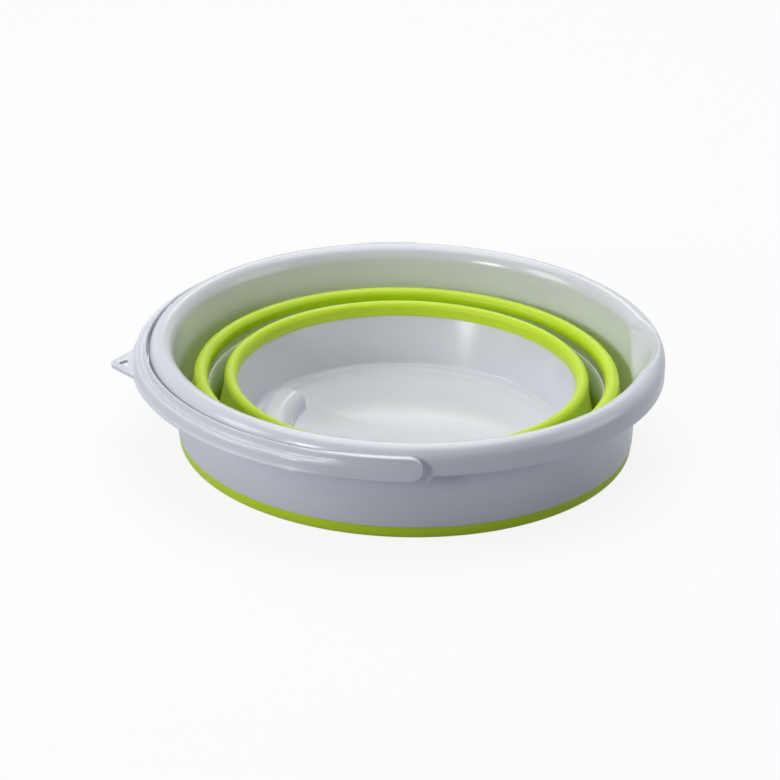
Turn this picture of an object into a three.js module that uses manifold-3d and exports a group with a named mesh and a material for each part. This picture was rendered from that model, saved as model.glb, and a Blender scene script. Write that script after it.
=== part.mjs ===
// Collapsible bucket, folded flat: three hard rings joined by two rubber folds, with a swinging bail handle.
// Millimetres, +Z up. The origin is on the bucket's axis, on the flat underside of the base cup.
// The pour spout points along +X, the folded handle lies round the -X side and its pivots are on the Y axis.

import * as THREE from 'three';
import { mergeVertices } from 'three/addons/utils/BufferGeometryUtils.js';
import Module from 'manifold-3d';

const { clamp, degToRad, lerp, smoothstep } = THREE.MathUtils;

// Sizes shared by several pieces
const ringWall = 2.2;
const bondGap = 0.2;

// Facets: round the rings, the rim, the lugs and the pegs, along the handle and along each kind of arc
const ringSegments = 60;
const rimSegments = 72;
const lugSegments = 120;
const boreSegments = 24;
const pegSegments = 20;
const recessSteps = 3;
const handleSteps = 18;
const tipSteps = 5;
const flareSteps = 4;
const beadSteps = 8;
const rimSteps = 5;
const lipSteps = 2;
const hemSteps = 2;
const eyeSteps = 6;

// Base cup
const floorRadius = 94;
const floorThickness = 3;
const floorStepWidth = 8.4;
const floorStepRise = 2;
const cupFlare = 7;
const cupHeight = 37.5;

// Finger recess under the base, a channel bent along the wall that shows as a hump on the inside floor
const recessInset = 7.5;
const recessWidth = 18;
const recessDepth = 12.8;
const recessDraft = 3;
const recessRound = 2.4;
const recessHalfAngle = degToRad(28);

// Rubber folds: a bead bonded on the ring below, a free web, and a hem bonded under the ring above
const foldWeb = 1.8;
const foldClearance = 0.4;
const hemHeight = 7.5;
const hemRound = 3;
const hemArcStart = -60;
const hemGroundGap = 0.8;
const innerBeadWidth = 7.6;
const innerBeadHeight = 9;
const innerFoldGap = 4;
const outerBeadWidth = 8.8;
const outerBeadHeight = 7.5;
const outerFoldGap = 5.6;

// Middle ring
const middleTop = 40.5;
const middleFlare = 3.4;
const ledgeWidth = 1.2;
const ledgeDrop = 5;

// Upper ring with its rolled rim and pour spout
const foldedHeight = 70.7;
const upperFlare = 1;
const rimFlare = 4.2;
const rimInnerRound = 5.2;
const rimOuterRound = 10.2;
const rimHeight = 18.6;
const rimInnerDrop = 10;
const rimOuterDrop = 10.9;
const rimLipAngle = 158;
const flareStart = 27;
const spoutDepth = 7.5;
const spoutDrop = 6.5;
const spoutHeight = 28;
const spoutHalfAngle = degToRad(15);
const spoutCrowding = 0.4;

// Handle pivots
const pivotRise = 6.2;
const pegRadius = 4;
const pegClearance = 0.35;
const pegHeadRadius = 5.2;
const pegHeadLength = 2.6;
const lugDrop = 4.4;
const lugHalfWidth = 18.5;
const lugCorner = 3;
const lugInset = 0.1;
const lugThickness = 4.5;

// Handle
const handleGap = 0.5;
const handleWidth = 11;
const strapThickness = 5;
const strapHalfHeight = 8;
const strapTip = 11;
const handleBelow = 5.9;
const innerRidge = 6.7;
const outerRidge = 2.4;
const grooveDepth = 0.9;
const handleRib = 2;
const handleWeb = 2.4;
const handleDraft = 0.7;
const ridgeWidth = 1.8;
const ridgeRound = 0.8;
const ridgeInset = 2.4;
const flangeWidth = 1.4;
const flangeHeight = 1.6;
const flangeFillet = 0.5;
const strapEdge = 0.8;
const strapCrown = 0.3;
const strapEnd = degToRad(8);
const ridgeStart = degToRad(22);
const tipTurn = degToRad(78);

// Hanging eye at the middle of the handle
const eyeReach = 12.4;
const eyeWidth = 44;
const eyeTipRadius = 7;
const eyeThickness = 2.5;
const eyeHoleReach = 5.4;
const eyeHoleWidth = 9;
const eyeHoleTip = 3.8;
const eyeHoleInset = 1.6;
const eyeTurn = degToRad(5.2);

// Radii, worked out from the floor outwards
const cupBottomRadius = floorRadius + floorStepWidth;
const humpOuter = cupBottomRadius - recessInset;
const humpInner = humpOuter - recessWidth - 2 * ringWall;
const cupTopRadius = cupBottomRadius + cupFlare;
const innerBeadOuter = cupTopRadius + innerBeadWidth;
const innerHemInner = innerBeadOuter + innerFoldGap;
const hemWidth = foldWeb + foldClearance + ringWall;
const middleBottomRadius = innerHemInner + hemWidth - ringWall;
const middleLedgeRadius = middleBottomRadius + middleFlare;
const middleTopRadius = middleLedgeRadius + ledgeWidth;
const outerBeadOuter = middleTopRadius + outerBeadWidth;
const outerHemInner = outerBeadOuter + outerFoldGap;
const upperBottomRadius = outerHemInner + hemWidth - ringWall;
const upperWallRadius = upperBottomRadius + upperFlare;
const rimInner = upperWallRadius + rimFlare;
const rimCrest = rimInner + rimInnerRound;
const rimOuter = rimCrest + rimOuterRound;
const handleInner = rimOuter + handleGap;
const handleOuter = handleInner + handleWidth;

// Levels
const wallBottom = hemGroundGap + hemHeight;
const skirtBottom = foldedHeight - rimHeight;
const pivotLevel = skirtBottom + pivotRise;
const flareLevel = foldedHeight - flareStart;
const lipLevel = foldedHeight - rimInnerDrop;
const spoutFoot = foldedHeight - spoutDrop - spoutHeight;

// Materials
const greyPlastic = new THREE.MeshStandardMaterial({ color: 0xdfe2e6, roughness: 0.32, metalness: 0 });
const greenRubber = new THREE.MeshStandardMaterial({ color: 0xa9cf2c, roughness: 0.5, metalness: 0 });

const wasm = await Module();
wasm.setup();

const point = (x, y) => new THREE.Vector2(x, y);

// Joins coincident corners, drops flat triangles and turns every face outwards.
function closed(geometry) {
  const bare = new THREE.BufferGeometry();
  bare.setAttribute('position', geometry.getAttribute('position').clone());
  const count = geometry.getAttribute('position').count;
  bare.setIndex(geometry.index ? Array.from(geometry.index.array) : [...Array(count).keys()]);
  const merged = mergeVertices(bare, 1e-4);
  const corner = (index) => new THREE.Vector3().fromBufferAttribute(merged.getAttribute('position'), index);
  const faces = [];
  let volume = 0;
  for (let i = 0; i < merged.index.count; i += 3) {
    const [a, b, c] = [0, 1, 2].map((k) => merged.index.getX(i + k));
    if (a === b || b === c || c === a) continue;
    faces.push([a, b, c]);
    volume += corner(a).dot(corner(b).cross(corner(c)));
  }
  merged.setIndex(faces.flatMap(([a, b, c]) => (volume > 0 ? [a, b, c] : [a, c, b])));
  return merged;
}

function solid(geometry) {
  const shell = closed(geometry);
  return new wasm.Manifold(new wasm.Mesh({
    numProp: 3,
    vertProperties: Float32Array.from(shell.getAttribute('position').array),
    triVerts: Uint32Array.from(shell.index.array),
  }));
}

function geometryOf(body) {
  const mesh = body.getMesh();
  const geometry = new THREE.BufferGeometry();
  geometry.setAttribute('position', new THREE.BufferAttribute(Float32Array.from(mesh.vertProperties), 3));
  geometry.setIndex(Array.from(mesh.triVerts));
  return closed(geometry);
}

// Revolves a section of (radius, height) points round the bucket's axis.
function revolve(section, segments = ringSegments) {
  const geometry = new THREE.LatheGeometry(section, segments);
  geometry.rotateX(Math.PI / 2);
  return geometry;
}

function ring(section, segments = ringSegments) {
  return closed(revolve([...section, section[0]], segments));
}

// Points along an elliptical arc, with both ends.
function arc(centre, radiusX, radiusY, from, to, steps) {
  return Array.from({ length: steps + 1 }, (_, i) => {
    const angle = degToRad(lerp(from, to, i / steps));
    return point(centre.x + radiusX * Math.cos(angle), centre.y + radiusY * Math.sin(angle));
  });
}

// Points along a straight stretch, without its start.
function stretch(from, to, steps) {
  return Array.from({ length: steps }, (_, i) => from.clone().lerp(to, (i + 1) / steps));
}

// Bent block of the finger recess between two radial ends: the hump, or inset by a wall the hollow in it.
function recessBlock(inset, bottom) {
  const inner = humpInner + inset;
  const outer = humpOuter - inset;
  const top = recessDepth + ringWall - inset;
  const roundLevel = top - recessRound;
  const innerCentre = point(inner + recessDraft + recessRound, roundLevel);
  const outerCentre = point(outer - recessDraft - recessRound, roundLevel);
  const whole = solid(ring([
    point(inner, bottom),
    ...arc(innerCentre, recessRound, recessRound, 180, 90, recessSteps),
    ...arc(outerCentre, recessRound, recessRound, 90, 0, recessSteps),
    point(outer, bottom),
  ]));
  const reach = 2 * humpOuter;
  const spread = reach * Math.tan(recessHalfAngle - inset / humpOuter);
  const wedge = new THREE.Shape([point(0, 0), point(-reach, spread), point(-reach, -spread)]);
  const sector = new THREE.ExtrudeGeometry(wedge, { depth: 4 * recessDepth, bevelEnabled: false });
  sector.translate(0, 0, -2 * recessDepth);
  return whole.intersect(solid(sector));
}

// Base cup: floor, sloped step, flaring wall, flange for the inner bead and a hollow finger recess.
function baseCup() {
  const flangeOuter = innerBeadOuter - foldWeb - foldClearance;
  const outerBottom = cupBottomRadius + ringWall;
  const wallTop = point(cupTopRadius, cupHeight);
  const cup = solid(revolve([
    point(0, 0),
    point(outerBottom - floorThickness, 0),
    point(outerBottom, floorThickness),
    point(cupTopRadius + ringWall, cupHeight - 2 * ringWall),
    point(flangeOuter, cupHeight - ringWall),
    point(flangeOuter, cupHeight),
    wallTop,
    point(cupBottomRadius, floorThickness + floorStepRise),
    point(floorRadius, floorThickness),
    point(0, floorThickness),
  ]));
  const hump = recessBlock(0, 0);
  const hollow = recessBlock(ringWall, -recessDepth);
  return geometryOf(cup.add(hump).subtract(hollow));
}

// Rounded crest of a fold, flat underneath where it is bonded to the ring below.
function bead(inner, width, bottom, height) {
  const round = width / 2;
  const centre = point(inner + round, bottom + height - round);
  return ring([
    point(inner, bottom),
    point(inner + width, bottom),
    ...arc(centre, round, round, 0, 180, beadSteps),
  ]);
}

// Lower edge of a fold, bonded under the wall of the ring above.
function hem(inner) {
  const outer = inner + hemWidth;
  const top = wallBottom - bondGap;
  const outerCentre = point(outer - hemRound, hemGroundGap + hemRound);
  return ring([
    point(inner, top),
    point(inner, hemGroundGap + ringWall),
    point(outer - hemRound, hemGroundGap),
    ...arc(outerCentre, hemRound, hemRound, hemArcStart, 0, hemSteps),
    point(outer, top),
  ]);
}

// Free web of a fold, a thin cone from under the bead down to the hem.
function web(beadOuter, beadBottom, hemInner) {
  const top = beadBottom - bondGap;
  const bottom = wallBottom;
  return ring([
    point(beadOuter - foldWeb, top),
    point(hemInner, bottom),
    point(hemInner + foldWeb, bottom),
    point(beadOuter, top),
  ]);
}

// Middle ring: tapered wall with a small inside ledge and a flange for the outer bead.
function middleRing() {
  const flangeOuter = outerBeadOuter - foldWeb - foldClearance;
  const ledge = middleTop - ledgeDrop;
  return ring([
    point(middleBottomRadius, wallBottom),
    point(middleBottomRadius + ringWall, wallBottom),
    point(middleTopRadius + ringWall, middleTop - 2 * ringWall),
    point(flangeOuter, middleTop - ringWall),
    point(flangeOuter, middleTop),
    point(middleTopRadius, middleTop),
    point(middleTopRadius, ledge),
    point(middleLedgeRadius, ledge - ledgeWidth / 2),
  ]);
}

// Section of the upper ring: wall, flare, rolled rim and hanging skirt, all one wall thick.
function upperSection() {
  const outerCentre = point(rimCrest, foldedHeight - rimOuterDrop);
  const innerCentre = point(rimCrest, lipLevel);
  const under = -ringWall;
  const insideLip = arc(innerCentre, rimInnerRound, rimInnerDrop, rimLipAngle, 90, rimSteps - 1);
  const outsideLip = arc(innerCentre, rimInnerRound + under, rimInnerDrop + under, 90, rimLipAngle, lipSteps);
  const insideFlare = point(upperWallRadius, flareLevel);
  const outsideFlare = point(upperWallRadius + ringWall, flareLevel);
  return [
    point(upperBottomRadius, wallBottom),
    insideFlare,
    ...stretch(insideFlare, insideLip[0], flareSteps),
    ...insideLip.slice(1),
    ...arc(outerCentre, rimOuterRound, rimOuterDrop, 90, 0, rimSteps).slice(1),
    point(rimOuter, skirtBottom),
    point(rimOuter + under, skirtBottom),
    ...arc(outerCentre, rimOuterRound + under, rimOuterDrop + under, 0, 90, rimSteps - 1),
    ...outsideLip.slice(1),
    ...stretch(outsideLip.at(-1), outsideFlare, flareSteps),
    point(upperBottomRadius + ringWall, wallBottom),
  ];
}

// Presses a pour spout into the wall and the inside of the rim at +X, widening upwards from a point.
// The facets are first crowded towards the spout, and the skirt stays round.
function formSpout(geometry) {
  const position = geometry.getAttribute('position');
  const fixed = rimOuter - ringWall;
  for (let i = 0; i < position.count; i += 1) {
    const radius = Math.hypot(position.getX(i), position.getY(i));
    const evenAngle = Math.atan2(position.getY(i), position.getX(i));
    const angle = evenAngle - spoutCrowding * Math.sin(evenAngle);
    const rise = clamp((position.getZ(i) - spoutFoot) / spoutHeight, 0, 1);
    const across = rise > 0 ? Math.min(1, Math.abs(angle) / (spoutHalfAngle * rise)) : 1;
    const share = clamp((fixed - radius) / (fixed - rimInner - ringWall), 0, 1);
    const pressed = radius + spoutDepth * rise * (1 - across ** 2) * share;
    position.setX(i, pressed * Math.cos(angle));
    position.setY(i, pressed * Math.sin(angle));
  }
  return geometry;
}

// Outline of a lug that thickens the skirt and reaches below it, to carry one end of the handle.
function lugShape() {
  const bottom = skirtBottom - lugDrop;
  const top = pivotLevel + pegHeadRadius + ringWall;
  const shape = new THREE.Shape();
  shape.moveTo(-lugHalfWidth + lugCorner, bottom);
  shape.lineTo(lugHalfWidth - lugCorner, bottom);
  shape.lineTo(lugHalfWidth, skirtBottom);
  shape.lineTo(pegHeadRadius, top);
  shape.lineTo(-pegHeadRadius, top);
  shape.lineTo(-lugHalfWidth, skirtBottom);
  shape.closePath();
  return shape;
}

function upperRing() {
  let body = solid(formSpout(ring(upperSection(), rimSegments)));
  const lugOuter = rimOuter - lugInset;
  const lugRound = new THREE.CylinderGeometry(lugOuter, lugOuter, 2 * foldedHeight, lugSegments);
  lugRound.rotateX(Math.PI / 2);
  for (const side of [-1, 1]) {
    const lug = new THREE.ExtrudeGeometry(lugShape(), { depth: 2 * lugThickness, bevelEnabled: false });
    lug.rotateX(Math.PI / 2);
    lug.translate(0, side * rimOuter + lugThickness, 0);
    body = body.add(solid(lug).intersect(solid(lugRound)));
  }
  const boreRadius = pegRadius + pegClearance;
  for (const side of [-1, 1]) {
    const bore = new THREE.CylinderGeometry(boreRadius, boreRadius, 3 * lugThickness, boreSegments);
    bore.translate(0, side * rimOuter, pivotLevel);
    body = body.subtract(solid(bore));
  }
  return geometryOf(body);
}

// Section of the hoop: a tall inner rib, a groove, a lower outer ridge and a flange, hollow underneath.
function hoopSection() {
  const bottom = -handleBelow;
  const groove = outerRidge - grooveDepth;
  const ceiling = groove - handleWeb;
  const flangeRoot = handleWidth - flangeWidth;
  const shoulder = handleWidth - ridgeInset;
  const ridgeInner = shoulder - ridgeRound - ridgeWidth;
  return [
    point(0, bottom),
    point(handleRib, bottom),
    point(handleRib + handleDraft, ceiling),
    point(shoulder - handleRib, ceiling),
    point(flangeRoot - handleRib, bottom),
    point(handleWidth, bottom),
    point(handleWidth, bottom + flangeHeight),
    point(flangeRoot, bottom + flangeHeight + flangeFillet),
    point(shoulder, outerRidge - ridgeRound),
    point(shoulder - ridgeRound, outerRidge),
    point(ridgeInner, outerRidge),
    point(ridgeInner - ridgeRound, groove),
    point(handleRib + handleDraft, groove),
    point(handleRib, innerRidge),
    point(0, innerRidge),
  ];
}

// Section of the flat strap at each end, with one point for every point of the hoop's section.
function strapSection() {
  const face = strapThickness;
  const half = strapHalfHeight;
  const edge = strapEdge;
  const bottomRow = [1, 2, 3].map((share) => point(lerp(edge, face - edge, share / 4), -half));
  return [
    point(0, edge - half),
    point(edge, -half),
    ...bottomRow,
    point(face - edge, -half),
    point(face, edge - half),
    point(face + strapCrown / 2, -half / 2),
    point(face + strapCrown, 0),
    point(face + strapCrown / 2, half / 2),
    point(face, half - 2 * edge),
    point(face, half - edge),
    point(face - edge, half),
    point(edge, half),
    point(0, half - edge),
  ];
}

// Skins a row of sections with the same number of points and closes both ends.
function loft(rows, endOutline) {
  const count = rows[0].length;
  const positions = rows.flat().flatMap((p) => p.toArray());
  const faces = [];
  for (let row = 0; row + 1 < rows.length; row += 1) {
    for (let i = 0; i < count; i += 1) {
      const [a, b] = [row * count + i, row * count + (i + 1) % count];
      faces.push(a, b, a + count, b, b + count, a + count);
    }
  }
  const last = (rows.length - 1) * count;
  for (const [a, b, c] of THREE.ShapeUtils.triangulateShape(endOutline, [])) {
    faces.push(c, b, a, last + a, last + b, last + c);
  }
  const geometry = new THREE.BufferGeometry();
  geometry.setAttribute('position', new THREE.Float32BufferAttribute(positions, 3));
  geometry.setIndex(faces);
  return geometry;
}

// Stations of half the handle: angle past the pivot, and share of the height left at the rounded tip.
function handleStations() {
  const tipAngle = strapTip / handleInner;
  const roundAngle = strapHalfHeight / handleInner;
  const tip = Array.from({ length: tipSteps }, (_, i) => {
    const turn = lerp(tipTurn, 0, i / (tipSteps - 1));
    return { past: roundAngle * (1 - Math.sin(turn)) - tipAngle, height: Math.cos(turn) };
  });
  const rest = Array.from({ length: handleSteps + 1 }, (_, i) => (
    { past: lerp(strapEnd / 2, Math.PI / 2, i / handleSteps), height: 1 }
  ));
  return [...tip, ...rest];
}

// Bail: flat straps at the pivots, a ridged half hoop between them and a snap peg inside each end.
function handle() {
  const hoop = hoopSection();
  const strap = strapSection();
  const half = handleStations();
  const front = half.map((station) => ({ ...station, azimuth: 1.5 * Math.PI - station.past }));
  const back = half.map((station) => ({ ...station, azimuth: 0.5 * Math.PI + station.past }));
  const stations = [...front, ...back.slice(0, -1).reverse()];
  const rows = stations.map(({ past, height, azimuth }) => {
    const share = smoothstep(past, strapEnd, ridgeStart);
    return strap.map((flat, i) => {
      const at = flat.clone().lerp(hoop[i], share);
      const radius = handleInner + at.x;
      const level = pivotLevel + at.y * height;
      return new THREE.Vector3(radius * Math.cos(azimuth), radius * Math.sin(azimuth), level);
    });
  });
  let body = solid(loft(rows, strap));
  const pegRoot = handleInner + strapThickness / 2;
  const headFace = rimOuter - lugThickness - pegClearance;
  for (const side of [-1, 1]) {
    const peg = new THREE.LatheGeometry([
      point(0, pegRoot),
      point(pegRadius, pegRoot),
      point(pegRadius, headFace),
      point(pegHeadRadius, headFace),
      point(pegHeadRadius, headFace - pegHeadLength / 2),
      point(pegRadius, headFace - pegHeadLength),
      point(0, headFace - pegHeadLength),
    ], pegSegments);
    if (side < 0) peg.rotateZ(Math.PI);
    peg.translate(0, 0, pivotLevel);
    body = body.add(solid(peg));
  }
  return geometryOf(body);
}

// Triangular tab with a triangular hole, standing out from the handle's lower flange.
function hangingEye() {
  const root = handleOuter + bondGap;
  const tip = handleOuter + eyeReach;
  const half = eyeWidth / 2;
  const bulge = root - Math.sqrt(root ** 2 - half ** 2);
  const corner = point(root - bulge, half);
  const centre = point(tip - eyeTipRadius, 0);
  const lean = corner.clone().sub(centre);
  const touch = lean.angle() - Math.acos(eyeTipRadius / lean.length());
  const shape = new THREE.Shape();
  shape.moveTo(corner.x, -corner.y);
  shape.absarc(centre.x, centre.y, eyeTipRadius, -touch, touch, false);
  shape.lineTo(corner.x, corner.y);
  shape.absarc(0, 0, root, Math.asin(half / root), -Math.asin(half / root), true);
  const hole = new THREE.Path();
  const holeRoot = root + eyeHoleInset;
  const holeTip = eyeHoleTip / 2;
  hole.moveTo(holeRoot, -eyeHoleWidth / 2);
  hole.lineTo(holeRoot, eyeHoleWidth / 2);
  hole.lineTo(holeRoot + eyeHoleReach, holeTip);
  hole.lineTo(holeRoot + eyeHoleReach, -holeTip);
  hole.closePath();
  shape.holes.push(hole);
  const tab = new THREE.ExtrudeGeometry(shape, {
    depth: eyeThickness,
    bevelEnabled: false,
    curveSegments: eyeSteps,
  });
  tab.translate(0, 0, pivotLevel - handleBelow);
  tab.rotateZ(Math.PI + eyeTurn);
  return closed(tab);
}

const innerBeadBottom = cupHeight + bondGap;
const outerBeadBottom = middleTop + bondGap;

const pieces = [
  ['base_cup', baseCup(), greyPlastic],
  ['inner_fold_bead', bead(cupTopRadius, innerBeadWidth, innerBeadBottom, innerBeadHeight), greenRubber],
  ['inner_fold_web', web(innerBeadOuter, innerBeadBottom, innerHemInner), greenRubber],
  ['inner_fold_hem', hem(innerHemInner), greenRubber],
  ['middle_ring', middleRing(), greyPlastic],
  ['outer_fold_bead', bead(middleTopRadius, outerBeadWidth, outerBeadBottom, outerBeadHeight), greenRubber],
  ['outer_fold_web', web(outerBeadOuter, outerBeadBottom, outerHemInner), greenRubber],
  ['outer_fold_hem', hem(outerHemInner), greenRubber],
  ['upper_ring', upperRing(), greyPlastic],
  ['handle', handle(), greyPlastic],
  ['hanging_eye', hangingEye(), greyPlastic],
];

const bucket = new THREE.Group();
for (const [name, geometry, material] of pieces) {
  const mesh = new THREE.Mesh(geometry, material);
  mesh.name = name;
  bucket.add(mesh);
}

export default bucket;
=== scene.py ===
# Collapsible bucket, folded flat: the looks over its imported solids, in the same frame.

import math

import bmesh
import bpy
from mathutils import Matrix, Vector


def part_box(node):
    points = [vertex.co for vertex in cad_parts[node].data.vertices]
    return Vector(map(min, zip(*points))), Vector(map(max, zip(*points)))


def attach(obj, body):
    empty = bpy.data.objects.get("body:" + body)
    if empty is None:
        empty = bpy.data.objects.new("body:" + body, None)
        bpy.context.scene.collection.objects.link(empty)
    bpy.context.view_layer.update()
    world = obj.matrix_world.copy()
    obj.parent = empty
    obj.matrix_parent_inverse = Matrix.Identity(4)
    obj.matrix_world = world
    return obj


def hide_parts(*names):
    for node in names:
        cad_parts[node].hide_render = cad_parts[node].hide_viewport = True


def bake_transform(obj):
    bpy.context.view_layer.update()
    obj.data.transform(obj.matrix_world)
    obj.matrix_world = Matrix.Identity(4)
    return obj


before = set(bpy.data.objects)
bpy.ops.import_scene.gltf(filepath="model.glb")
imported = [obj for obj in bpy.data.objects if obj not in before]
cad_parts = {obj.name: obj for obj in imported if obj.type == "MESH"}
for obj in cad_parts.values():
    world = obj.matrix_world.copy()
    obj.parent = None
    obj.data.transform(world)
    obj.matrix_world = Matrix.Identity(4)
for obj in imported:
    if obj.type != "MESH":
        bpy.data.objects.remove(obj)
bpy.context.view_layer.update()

MM = 0.001


def node_box(node):
    """Lowest and highest corner of a CAD node, in millimetres."""
    return [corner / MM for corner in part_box(node)]


# Sizes that the solids give, in millimetres
upper_low, upper_high = node_box("upper_ring")
rim_outer = upper_high.x
rim_top = upper_high.z
wall_bottom = upper_low.z
middle_high = node_box("middle_ring")[1]
middle_top = middle_high.z
cup_top = node_box("base_cup")[1].z
inner_bead_outer = node_box("inner_fold_bead")[1].x
inner_hem_outer = node_box("inner_fold_hem")[1].x

# Shared sizes
ring_wall = 2.2
ring_steps = 240
edge_round = 0.5
crease = math.radians(38)

# Upper ring
rim_crest = rim_outer - 10.2
rim_inner = rim_crest - 5.2
rim_lip = rim_outer - 12.8
rim_dome = 0.8
upper_wall = rim_inner - 4.2
rim_height = 18.6
skirt_bottom = rim_top - rim_height
flare_level = rim_top - 27
rim_stretch = 1.2
spout_depth = 7.5
spout_top = rim_top - 6.5
spout_foot = spout_top - 28
spout_half_angle = math.radians(15)
pivot_level = skirt_bottom + 6.2
lug_drop = 4.4
lug_half_width = 18.5
lug_corner = 3
lug_thickness = 4.5

# Middle ring
middle_top_radius = inner_hem_outer + 2.4
ledge_width = 1.2
ledge_drop = 5
lining_drop = 7
lining_lift = 0.15
lining_depth = 0.4

# Base cup
floor_radius = 94
floor_thickness = 3
cup_bottom_radius = 102.4
cup_top_radius = 109.4
step_rise = 2
hump_outer = cup_bottom_radius - 7.5
hump_inner = hump_outer - 22.4
hump_top = 15
hump_draft = 3
hump_half_angle = math.radians(28)

# Folds
fold_web = 1.8
hem_width = 4.4
hem_inset = 0.8
hem_drop = 0.6
bead_overlap = 0.3
bead_gap = 0.4

# Handle
handle_inner = rim_outer + 0.5
hoop_width = 11
handle_outer = handle_inner + hoop_width
hoop_half_height = 5.9
strap_thickness = 5
strap_half_height = 8
strap_tip = 11
strap_end = math.radians(9)
ridge_start = math.radians(23)
peg_radius = 4
peg_head_radius = 5.2
peg_head_length = 2.6
peg_gap = 0.35

# Hanging eye
eye_turn = math.radians(5.2)
eye_reach = 12.4
eye_width = 44
eye_thickness = 2.5
eye_tip_radius = 7


class Tint:
    """One socket of a finish: expressions on it add Math nodes to the finish."""

    def __init__(self, finish, socket):
        self.finish = finish
        self.socket = socket

    def math(self, operation, first, second):
        return self.finish.node("ShaderNodeMath", {"operation": operation}, {0: first, 1: second})

    def __add__(self, other):
        return self.math("ADD", self, other)

    def __radd__(self, other):
        return self.math("ADD", other, self)

    def __sub__(self, other):
        return self.math("SUBTRACT", self, other)

    def __rsub__(self, other):
        return self.math("SUBTRACT", other, self)

    def __mul__(self, other):
        return self.math("MULTIPLY", self, other)

    def __rmul__(self, other):
        return self.math("MULTIPLY", other, self)


class Finish:
    """A node material, or the world, built from expressions."""

    def __init__(self, owner):
        self.owner = owner
        owner.use_nodes = True
        self.tree = owner.node_tree
        self.tree.nodes.clear()

    def node(self, kind, settings=None, sockets=None, output=0):
        made = self.tree.nodes.new(kind)
        for name, value in (settings or {}).items():
            setattr(made, name, value)
        for name, value in (sockets or {}).items():
            if isinstance(value, Tint):
                self.tree.links.new(value.socket, made.inputs[name])
            else:
                made.inputs[name].default_value = value
        return Tint(self, made.outputs[output]) if len(made.outputs) else made

    def mix(self, share, first, second):
        """Mixes two colours."""
        return self.node(
            "ShaderNodeMix", {"data_type": "RGBA"}, {"Factor": share, 6: first, 7: second}, output=2
        )

    def noise(self, scale, detail=2.0, roughness=0.5):
        place = self.node("ShaderNodeTexCoord", output="Object")
        return self.node(
            "ShaderNodeTexNoise", None,
            {"Vector": place, "Scale": scale, "Detail": detail, "Roughness": roughness},
        )

    def surface(self, shader):
        self.node("ShaderNodeOutputMaterial", None, {"Surface": shader})


def grey_plastic():
    """Satin moulded polypropylene: faint clouding, moulding ripple and fine handling marks."""
    finish = Finish(bpy.data.materials.new("grey_plastic"))
    cloud = finish.noise(9.0, 3.0)
    ripple = finish.noise(55.0, 1.0)
    grain = finish.noise(2600.0, 2.0)
    rub = finish.noise(160.0, 4.0, 0.65)
    shade = finish.mix(cloud, (0.715, 0.738, 0.800, 1), (0.750, 0.772, 0.832, 1))
    gloss = 0.12 + cloud * 0.05 + rub * 0.06
    relief = finish.node(
        "ShaderNodeBump", None,
        {"Height": ripple * 0.8 + grain * 0.03, "Distance": 0.0002, "Strength": 0.2},
    )
    finish.surface(finish.node("ShaderNodeBsdfPrincipled", None, {
        "Base Color": shade, "Roughness": gloss, "Normal": relief,
    }))
    return finish.owner


def green_rubber():
    """Lime thermoplastic rubber: soft sheen, slightly paler where it is rubbed."""
    finish = Finish(bpy.data.materials.new("green_rubber"))
    cloud = finish.noise(14.0, 3.0)
    grain = finish.noise(2100.0, 3.0)
    rub = finish.noise(120.0, 4.0, 0.6)
    shade = finish.mix(cloud, (0.585, 0.805, 0.018, 1), (0.625, 0.835, 0.030, 1))
    gloss = 0.3 + cloud * 0.06 + rub * 0.1
    relief = finish.node(
        "ShaderNodeBump", None, {"Height": grain, "Distance": 0.0001, "Strength": 0.2}
    )
    finish.surface(finish.node("ShaderNodeBsdfPrincipled", None, {
        "Base Color": shade, "Roughness": gloss, "Normal": relief, "Specular IOR Level": 0.35,
    }))
    return finish.owner


def painted_shade_lining():
    """Lime rubber darkened with painted shade for the shaded valley, darkest low down and fading
    upwards to the grey of the middle ring's ledge.
    """
    finish = Finish(bpy.data.materials.new("middle_ring_lining_painted_shade"))
    place = finish.node("ShaderNodeTexCoord", output="Object")
    height = finish.node("ShaderNodeSeparateXYZ", None, {"Vector": place}, output="Z")
    cloud = finish.noise(14.0, 3.0)
    # Painted shade: a darkened copy of the lime rubber's green
    green = finish.mix(cloud, (0.19, 0.30, 0.012, 1), (0.22, 0.34, 0.020, 1))
    # Painted shade by height: darkest at the bottom of the valley, fading upwards into grey
    shade = finish.mix((height - 0.017) * 65.0, green, (0.62, 0.66, 0.66, 1))
    finish.surface(finish.node("ShaderNodeBsdfPrincipled", None, {
        "Base Color": shade, "Roughness": 0.3 + cloud * 0.1,
    }))
    return finish.owner


GREY = grey_plastic()
GREEN = green_rubber()
PAINTED_SHADE_LINING = painted_shade_lining()


def piece(name, mesh, finish):
    """Makes an object of a finished bmesh, in metres, smooth with its sharp edges kept."""
    bmesh.ops.remove_doubles(mesh, verts=mesh.verts, dist=0.004)
    bmesh.ops.delete(mesh, geom=[edge for edge in mesh.edges if edge.is_wire], context="EDGES")
    bmesh.ops.recalc_face_normals(mesh, faces=mesh.faces)
    if mesh.calc_volume(signed=True) < 0:
        bmesh.ops.reverse_faces(mesh, faces=mesh.faces)
    bmesh.ops.scale(mesh, vec=(MM, MM, MM), verts=mesh.verts)
    data = bpy.data.meshes.new(name)
    mesh.to_mesh(data)
    mesh.free()
    data.shade_smooth()
    data.set_sharp_from_angle(angle=crease)
    data.materials.append(finish)
    made = bpy.data.objects.new(name, data)
    bpy.context.scene.collection.objects.link(made)
    return made


def loop(mesh, places):
    """A closed row of edges through the places."""
    verts = [mesh.verts.new(place) for place in places]
    return [mesh.edges.new((a, b)) for a, b in zip(verts, verts[1:] + verts[:1])]


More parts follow.
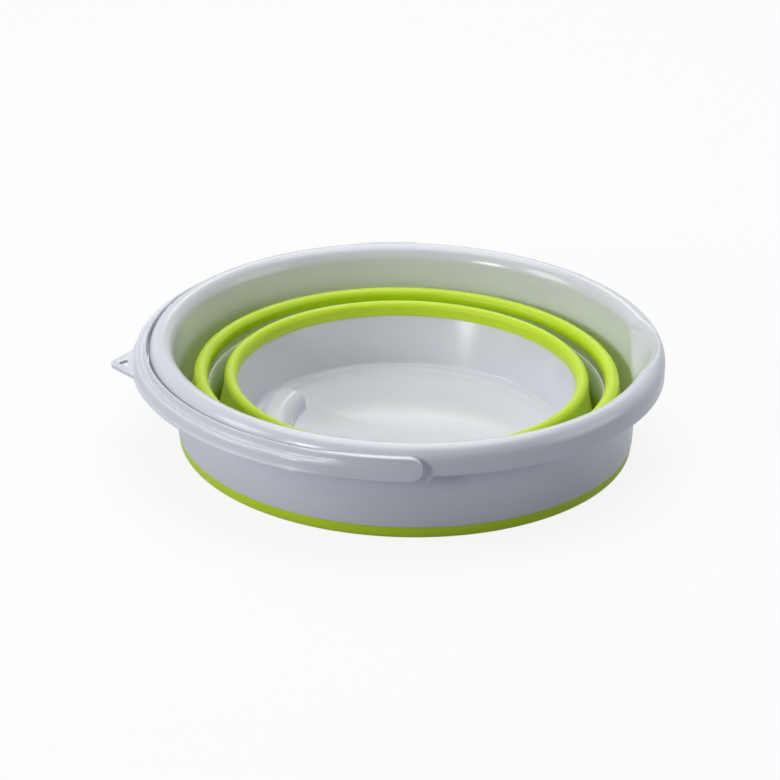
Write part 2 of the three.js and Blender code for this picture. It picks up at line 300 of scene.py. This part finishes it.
def section(mesh, corners, stretch=1.0):
    """A closed section of (radius, height, rounding) corners in the XZ plane, rounded by bevels.
    With a stretch the roundings come out that much taller than they are wide."""
    loop(mesh, [(radius, 0, height / stretch) for radius, height, _ in corners])
    for vert, (_, _, rounding) in zip(list(mesh.verts), corners):
        if rounding:
            bmesh.ops.bevel(
                mesh, geom=[vert], offset=rounding, offset_type="OFFSET", affect="VERTICES",
                segments=max(3, min(12, round(2 * rounding))), profile=0.5, material=-1,
            )
    bmesh.ops.scale(mesh, vec=(1, 1, stretch), verts=mesh.verts)


def revolve(mesh, steps=ring_steps):
    """Spins everything in the mesh once round the bucket's axis."""
    bmesh.ops.spin(
        mesh, geom=mesh.verts[:] + mesh.edges[:], cent=(0, 0, 0), axis=(0, 0, 1), dvec=(0, 0, 0),
        angle=2 * math.pi, steps=steps, use_merge=True, use_duplicate=False,
    )


def turn_about_axis(mesh, angle, axis):
    matrix = Matrix.Rotation(angle, 3, axis)
    bmesh.ops.rotate(mesh, verts=mesh.verts, cent=(0, 0, 0), matrix=matrix)


def mirror_sides(mesh, merge_dist):
    """Adds the far side of the bucket as the mirror of the near side."""
    everything = mesh.verts[:] + mesh.edges[:] + mesh.faces[:]
    bmesh.ops.mirror(mesh, geom=everything, axis="Y", merge_dist=merge_dist)


def smoothstep(value, start, end):
    share = min(1, max(0, (value - start) / (end - start)))
    return share * share * (3 - 2 * share)


def form_spout(mesh):
    """Presses a spout, widening upwards from a point, into the wall and the rim's inside at +X."""
    fixed = rim_outer - ring_wall
    for vert in mesh.verts:
        radius = math.hypot(vert.co.x, vert.co.y)
        rise = min(1, max(0, (vert.co.z - spout_foot) / (spout_top - spout_foot)))
        if rise > 0:
            across = min(1, abs(math.atan2(vert.co.y, vert.co.x)) / (spout_half_angle * rise))
            share = min(1, max(0, (fixed - radius) / (fixed - rim_inner - ring_wall)))
            push = 1 + spout_depth * rise * (1 - across ** 2) * share / radius
            vert.co.x *= push
            vert.co.y *= push


def lower_lugs(mesh):
    """Lets the skirt's edge down into a lug at each handle pivot."""
    for cut in (lug_half_width, lug_half_width - lug_corner):
        for side in (-cut, cut):
            skirt = [face for face in mesh.faces if abs(face.calc_center_median().y) > rim_crest]
            edges = {edge for face in skirt for edge in face.edges}
            verts = {vert for face in skirt for vert in face.verts}
            bmesh.ops.bisect_plane(
                mesh, geom=skirt + list(edges) + list(verts), dist=0.01,
                plane_co=(side, 0, 0), plane_no=(1, 0, 0),
            )
    flat_half = lug_half_width - lug_corner + 0.1
    for vert in mesh.verts:
        outside = math.hypot(vert.co.x, vert.co.y) > rim_crest
        if outside and vert.co.z < skirt_bottom + 1 and abs(vert.co.x) < flat_half:
            vert.co.z -= lug_drop


def upper_ring():
    mesh = bmesh.new()
    inside = ring_wall
    section(mesh, [
        (upper_wall - 1, wall_bottom, edge_round),
        (upper_wall, flare_level, 4),
        (rim_lip - 2.4, rim_top - 5.0, 3.0),
        (rim_lip + 1.4, rim_top - 1.1, 2.2),
        (rim_outer, rim_top + rim_dome, 9.0),
        (rim_outer, skirt_bottom, edge_round),
        (rim_outer - inside, skirt_bottom, edge_round),
        (rim_outer - inside, rim_top - inside + 0.6, 6.4),
        (rim_lip + 2.7, rim_top - inside - 1.0, 1.2),
        (rim_lip + inside - 2.2, rim_top - 5.8, 2.0),
        (upper_wall + inside, flare_level, 4),
        (upper_wall + inside - 1, wall_bottom, edge_round),
    ], rim_stretch)
    walls = [edge for edge in mesh.edges if edge.calc_length() > rim_height / 2]
    bmesh.ops.subdivide_edges(mesh, edges=walls, cuts=14)
    revolve(mesh)
    form_spout(mesh)
    lower_lugs(mesh)
    made = piece("upper_ring_skin", mesh, GREY)
    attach(made, "upper")
    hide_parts("upper_ring")


def middle_ring():
    mesh = bmesh.new()
    bottom = inner_hem_outer - ring_wall
    ledge_radius = middle_top_radius - ledge_width
    ledge = middle_top - ledge_drop
    section(mesh, [
        (bottom, wall_bottom, 0.3),
        (bottom + ring_wall, wall_bottom, 0.3),
        (middle_top_radius + ring_wall, middle_top - 2 * ring_wall, 1.5),
        (middle_high.x, middle_top - ring_wall, 0.3),
        (middle_high.x, middle_top, 0.3),
        (middle_top_radius, middle_top, 0.3),
        (middle_top_radius, ledge, 0.2),
        (ledge_radius, ledge - 0.6, 0.3),
    ])
    revolve(mesh)
    made = piece("middle_ring_skin", mesh, GREY)
    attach(made, "middle")
    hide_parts("middle_ring")


def middle_lining():
    """The thin rubber skin of the inner fold that lines the middle ring below its ledge."""
    mesh = bmesh.new()
    bottom = inner_hem_outer - ring_wall
    top = bottom + 3.1
    level = middle_top - lining_drop
    section(mesh, [
        (bottom - lining_lift, wall_bottom, 0),
        (bottom + lining_depth, wall_bottom, 0),
        (top + lining_depth, level, 0),
        (top - lining_lift, level, 0.1),
    ])
    revolve(mesh)
    # Its finish is painted shade: the dark green stands for the shade in the valley between the
    # beads
    made = piece("middle_ring_lining_painted_shade", mesh, PAINTED_SHADE_LINING)
    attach(made, "middle")


def recess_block(inset, bottom, rounding):
    """The bent block of the finger recess: the hump, or inset by a wall the hollow under it."""
    mesh = bmesh.new()
    half_angle = hump_half_angle - inset / hump_outer
    inner, outer, top = hump_inner + inset, hump_outer - inset, hump_top - inset
    section(mesh, [
        (inner, bottom, 0),
        (inner + hump_draft / 3, top, 2 * rounding),
        (outer - hump_draft, top, rounding),
        (outer, bottom, 0),
    ])
    turn_about_axis(mesh, math.pi - half_angle, "Z")
    bmesh.ops.spin(
        mesh, geom=mesh.verts[:] + mesh.edges[:], cent=(0, 0, 0), axis=(0, 0, 1), dvec=(0, 0, 0),
        angle=2 * half_angle, steps=12, use_merge=False, use_duplicate=False,
    )
    ends = [edge for edge in mesh.edges if edge.is_boundary]
    bmesh.ops.holes_fill(mesh, edges=ends, sides=0)
    bmesh.ops.recalc_face_normals(mesh, faces=mesh.faces)
    raised = [edge for edge in ends if max(vert.co.z for vert in edge.verts) > bottom + 0.1]
    bmesh.ops.bevel(
        mesh, geom=raised, offset=rounding, offset_type="OFFSET", affect="EDGES", segments=6,
        profile=0.5, material=-1, clamp_overlap=True,
    )
    return piece("recess_block", mesh, GREY)


def combine(made, operation, tool):
    """Adds a tool shape to a piece or cuts it away, and removes the tool."""
    change = made.modifiers.new(operation.lower(), "BOOLEAN")
    change.operation = operation
    change.solver = "MANIFOLD"
    change.object = tool
    depsgraph = bpy.context.evaluated_depsgraph_get()
    data = bpy.data.meshes.new_from_object(made.evaluated_get(depsgraph))
    made.modifiers.clear()
    made.data = data
    bpy.data.objects.remove(tool)


def base_cup():
    mesh = bmesh.new()
    outer_bottom = cup_bottom_radius + ring_wall
    flange_outer = inner_bead_outer - fold_web - bead_gap
    section(mesh, [
        (0, 0, 0),
        (outer_bottom - floor_thickness, 0, 1.2),
        (outer_bottom, floor_thickness, 1.2),
        (cup_top_radius + ring_wall, cup_top - 2 * ring_wall, 1.5),
        (flange_outer, cup_top - ring_wall, 0.3),
        (flange_outer, cup_top, 0.3),
        (cup_top_radius, cup_top, 0.3),
        (cup_bottom_radius, floor_thickness + step_rise, 2.2),
        (floor_radius + 3.2, floor_thickness + step_rise - 0.2, 0.5),
        (floor_radius + 1.6, floor_thickness, 0.8),
        (0, floor_thickness, 0),
    ])
    revolve(mesh)
    made = piece("base_cup_skin", mesh, GREY)
    combine(made, "UNION", recess_block(0, floor_thickness / 2, 4))
    combine(made, "DIFFERENCE", recess_block(ring_wall, -floor_thickness, 2))
    made.data.shade_smooth()
    made.data.set_sharp_from_angle(angle=crease)
    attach(made, "base")
    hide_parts("base_cup")


def fold(name, bead_inner, seat):
    """One rubber fold, bead, web and hem in one skin."""
    nodes = [name + "_bead", name + "_web", name + "_hem"]
    bead_high = node_box(nodes[0])[1]
    hem_low, hem_high = node_box(nodes[2])
    hem_inner = hem_high.x - hem_width
    round_top = (bead_high.x - bead_inner) / 2 - 0.02
    mesh = bmesh.new()
    section(mesh, [
        (bead_inner, seat, edge_round),
        (bead_inner, bead_high.z, round_top),
        (bead_high.x, bead_high.z, round_top),
        (bead_high.x, seat, 1.5),
        (hem_inner + fold_web, wall_bottom, edge_round),
        (hem_high.x - hem_inset, wall_bottom, 0.3),
        (hem_high.x - hem_inset, hem_low.z - hem_drop, 3),
        (hem_inner, hem_low.z - hem_drop, 1.3),
        (hem_inner, wall_bottom, 1.5),
        (bead_high.x - fold_web, seat, 0.8),
    ])
    web = [edge for edge in mesh.edges if edge.calc_length() > hem_width * 3]
    bmesh.ops.subdivide_edges(mesh, edges=web, cuts=24)
    revolve(mesh)
    made = piece(name + "_skin", mesh, GREEN)
    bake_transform(made)
    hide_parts(*nodes)


# The hoop's section as (out from the rim side, up from the pivot), and the strap's, point for point
HOOP_SECTION = [
    (0.8, -4.2), (0.0, -5.6), (1.9, -5.9), (2.6, -5.4), (3.2, -1.0), (7.0, -1.3),
    (8.1, -5.4), (8.4, -5.9), (10.7, -5.9), (11.0, -5.6), (11.0, -4.7), (10.7, -4.35),
    (9.95, -3.9), (9.7, -3.3), (8.9, 1.0), (8.2, 2.1), (7.0, 2.5), (5.6, 1.8),
    (4.0, 1.1), (3.1, 2.0), (2.8, 5.6), (2.4, 6.5), (1.6, 6.7), (1.0, 6.1),
]
STRAP_SECTION = [
    (0.0, -7.4), (0.6, -8.0), (1.2, -8.0), (1.7, -8.0), (2.2, -8.0), (2.7, -8.0),
    (3.2, -8.0), (3.7, -8.0), (4.4, -8.0), (5.0, -7.4), (5.0, -6.6), (5.05, -5.6),
    (5.1, -4.4), (5.2, -3.0), (5.3, -1.2), (5.35, 0.0), (5.3, 1.2), (5.2, 2.8),
    (5.12, 4.4), (5.05, 5.8), (5.0, 7.4), (4.4, 8.0), (0.6, 8.0), (0.0, 7.4),
]


def handle_section(turn, height=1.0, thinning=0.0):
    """Places of the handle's section at an angle past the pivot: strap, then the ridged hoop."""
    share = smoothstep(turn, strap_end, ridge_start)
    places = []
    for flat, ridged in zip(STRAP_SECTION, HOOP_SECTION):
        out, up = Vector(flat).lerp(Vector(ridged), share)
        out += thinning * (strap_thickness / 2 - out)
        radius = handle_inner + out
        level = pivot_level + up * height
        places.append((-radius * math.sin(turn), -radius * math.cos(turn), level))
    return places


def handle():
    mesh = bmesh.new()
    stations = []
    for degrees in (86, 74, 61, 47, 32, 16, 0):
        rounding = math.radians(degrees)
        back = strap_tip - strap_half_height * (1 - math.sin(rounding))
        thinning = 0.15 if degrees == 86 else 0.0
        stations.append((-back / handle_inner, math.cos(rounding), thinning))
    for degrees in range(0, 91, 3):
        stations.append((math.radians(degrees), 1.0, 0.0))
    rows = [loop(mesh, handle_section(*station)) for station in stations]
    for row, following in zip(rows, rows[1:]):
        bmesh.ops.bridge_loops(mesh, edges=row + following)
    bmesh.ops.edgeloop_fill(mesh, edges=rows[0])
    mirror_sides(mesh, 0.01)
    made = piece("handle_skin", mesh, GREY)
    smooth = made.modifiers.new("smooth", "SUBSURF")
    smooth.levels = 2
    smooth.render_levels = 2
    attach(made, "bail")
    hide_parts("handle")


def handle_pegs():
    """The snap pegs inside both ends of the handle, with a head behind each lug."""
    mesh = bmesh.new()
    head = rim_outer - lug_thickness - peg_gap
    corners = [
        (0, handle_inner + strap_thickness / 2),
        (peg_radius, handle_inner + strap_thickness / 2),
        (peg_radius, head),
        (peg_head_radius, head),
        (peg_radius, head - peg_head_length),
        (0, head - peg_head_length),
    ]
    verts = [mesh.verts.new((radius, -along, pivot_level)) for radius, along in corners]
    for first, second in zip(verts, verts[1:]):
        mesh.edges.new((first, second))
    bmesh.ops.bevel(
        mesh, geom=verts[3:5], offset=0.5, offset_type="OFFSET", affect="VERTICES",
        segments=3, profile=0.5, material=-1,
    )
    bmesh.ops.spin(
        mesh, geom=mesh.verts[:] + mesh.edges[:], cent=(0, 0, pivot_level), axis=(0, 1, 0),
        dvec=(0, 0, 0), angle=2 * math.pi, steps=48, use_merge=True, use_duplicate=False,
    )
    mirror_sides(mesh, 0.001)
    made = piece("handle_pegs", mesh, GREY)
    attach(made, "bail")


def plate(mesh, outline, hole, thickness):
    """A flat plate in the XY plane with a hole, with its edges eased."""
    edges = loop(mesh, outline) + loop(mesh, hole)
    made = bmesh.ops.triangle_fill(mesh, use_beauty=True, edges=edges)
    faces = [part for part in made["geom"] if isinstance(part, bmesh.types.BMFace)]
    raised = bmesh.ops.extrude_face_region(mesh, geom=faces, use_keep_orig=True)
    lifted = [part for part in raised["geom"] if isinstance(part, bmesh.types.BMVert)]
    bmesh.ops.translate(mesh, verts=lifted, vec=(0, 0, thickness))
    bmesh.ops.recalc_face_normals(mesh, faces=mesh.faces)
    corners = [edge for edge in mesh.edges if edge.calc_face_angle(0) > math.radians(50)]
    bmesh.ops.bevel(
        mesh, geom=corners, offset=0.35, offset_type="OFFSET", affect="EDGES", segments=2,
        profile=0.5, material=-1,
    )


def round_row(centre_x, centre_y, radius, start, end, steps):
    """Places along a flat arc, angles in degrees."""
    angles = [math.radians(start + (end - start) * step / steps) for step in range(steps + 1)]
    return [(centre_x + radius * math.cos(a), centre_y + radius * math.sin(a), 0) for a in angles]


def hanging_eye():
    mesh = bmesh.new()
    half = eye_width / 2
    root = handle_outer - 1.2
    bulge = root - math.sqrt(root ** 2 - half ** 2)
    tip = handle_outer + eye_reach
    outline = [(root - bulge, half + 1, 0), (root - bulge, half, 0)]
    outline += round_row(tip - eye_tip_radius, 0, eye_tip_radius, 34, -34, 8)
    outline += [(root - bulge, -half, 0), (root - bulge, -half - 1, 0), (root - 4, 0, 0)]
    hole_root = handle_outer + 1.8
    hole = round_row(hole_root + 0.7, 3.8, 0.7, 180, 40, 3)
    hole += round_row(hole_root + 4.5, 0.9, 0.9, 40, 0, 2)
    hole += round_row(hole_root + 4.5, -0.9, 0.9, 0, -40, 2)
    hole += round_row(hole_root + 0.7, -3.8, 0.7, -40, -180, 3)
    plate(mesh, outline, hole, eye_thickness)
    bmesh.ops.translate(mesh, verts=mesh.verts, vec=(0, 0, pivot_level - hoop_half_height))
    turn_about_axis(mesh, math.pi + eye_turn, "Z")
    made = piece("hanging_eye_skin", mesh, GREY)
    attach(made, "bail")
    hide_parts("hanging_eye")


def pivot_lugs():
    """Plates behind the skirt that carry the pegs."""
    mesh = bmesh.new()
    bottom = skirt_bottom - lug_drop + 0.4
    top = pivot_level + peg_head_radius + ring_wall
    outline = [
        (lug_corner - lug_half_width, bottom, 0), (lug_half_width - lug_corner, bottom, 0),
        (lug_half_width, skirt_bottom, 0), (peg_head_radius, top, 0),
        (-peg_head_radius, top, 0), (-lug_half_width, skirt_bottom, 0),
    ]
    bore = round_row(0, pivot_level, peg_radius + peg_gap, 0, 345, 23)
    plate(mesh, outline, bore, lug_thickness - 1.4)
    turn_about_axis(mesh, math.pi / 2, "X")
    bmesh.ops.translate(mesh, verts=mesh.verts, vec=(0, lug_thickness - rim_outer, 0))
    mirror_sides(mesh, 0.001)
    made = piece("pivot_lugs", mesh, GREY)
    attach(made, "upper")


upper_ring()
pivot_lugs()
middle_ring()
middle_lining()
base_cup()
fold("inner_fold", cup_top_radius - bead_overlap, cup_top)
fold("outer_fold", middle_top_radius - bead_overlap, middle_top)
handle()
handle_pegs()
hanging_eye()


# Stage, in metres
floor_gap = 0.0003
bucket_middle = Vector((0, 0, 0.03))


def stage_floor():
    mesh = bmesh.new()
    bmesh.ops.create_grid(mesh, x_segments=1, y_segments=1, size=6)
    bmesh.ops.translate(mesh, verts=mesh.verts[:], vec=(0, 0, -floor_gap))
    data = bpy.data.meshes.new("studio_floor")
    mesh.to_mesh(data)
    mesh.free()
    finish = Finish(bpy.data.materials.new("studio_floor"))
    seen = finish.node("ShaderNodeLightPath", output="Is Camera Ray")
    mirrored = finish.node("ShaderNodeLightPath", output="Is Glossy Ray")
    pale = finish.node("ShaderNodeBsdfDiffuse", None, {"Color": (0.46, 0.50, 0.57, 1)})
    white = finish.node("ShaderNodeBsdfDiffuse", None, {"Color": (1, 1, 1, 1)})
    lit = finish.node("ShaderNodeEmission", None, {"Color": (1, 1, 1, 1), "Strength": 1.0})
    backdrop = finish.node("ShaderNodeMixShader", None, {0: 0.88, 1: white, 2: lit})
    shown = seen + mirrored * 0.6
    finish.surface(finish.node("ShaderNodeMixShader", None, {0: shown, 1: pale, 2: backdrop}))
    data.materials.append(finish.owner)
    floor = bpy.data.objects.new("studio_floor", data)
    bpy.context.scene.collection.objects.link(floor)


def soft_light(name, place, size, power):
    """A round soft lamp that faces the bucket."""
    data = bpy.data.lights.new(name, "AREA")
    data.shape = "DISK"
    data.size = size
    data.energy = power
    lamp = bpy.data.objects.new(name, data)
    lamp.location = place
    lamp.rotation_mode = "QUATERNION"
    lamp.rotation_quaternion = (bucket_middle - Vector(place)).to_track_quat("-Z", "Y")
    bpy.context.scene.collection.objects.link(lamp)


def studio():
    stage_floor()
    soft_light("overhead_light", (0.00, 0.38, 2.17), 2.2, 33)
    soft_light("back_light", (0.00, 1.69, 1.41), 1.0, 6)
    soft_light("key_light", (-1.38, -1.54, 0.75), 0.5, 10.5)
    soft_light("left_light", (-1.94, -0.52, 0.89), 0.9, 11)
    soft_light("right_light", (2.13, -0.30, 0.46), 1.5, 9)
    world = bpy.data.worlds.new("studio_world")
    bpy.context.scene.world = world
    finish = Finish(world)
    seen = finish.node("ShaderNodeLightPath", output="Is Camera Ray")
    mirrored = finish.node("ShaderNodeLightPath", output="Is Glossy Ray")
    shine = finish.node(
        "ShaderNodeBackground", None, {"Color": (1, 1, 1, 1), "Strength": seen + mirrored}
    )
    finish.node("ShaderNodeOutputWorld", None, {"Surface": shine})


def photo_camera():
    data = bpy.data.cameras.new("photo_camera")
    data.sensor_width = 36
    data.lens = 157.91
    data.clip_start = 0.05
    data.clip_end = 50
    camera = bpy.data.objects.new("photo_camera", data)
    tilt, pan, roll = (math.radians(angle) for angle in (24.746, 0.299, 1.285))
    turned = (
        Matrix.Rotation(pan, 4, "Z")
        @ Matrix.Rotation(math.pi / 2 - tilt, 4, "X")
        @ Matrix.Rotation(roll, 4, "Z")
    )
    camera.matrix_world = Matrix.Translation((0, -2.0, 0.9545)) @ turned
    bpy.context.scene.collection.objects.link(camera)
    bpy.context.scene.camera = camera


studio()
photo_camera()
bpy.context.scene.view_settings.view_transform = "Standard"
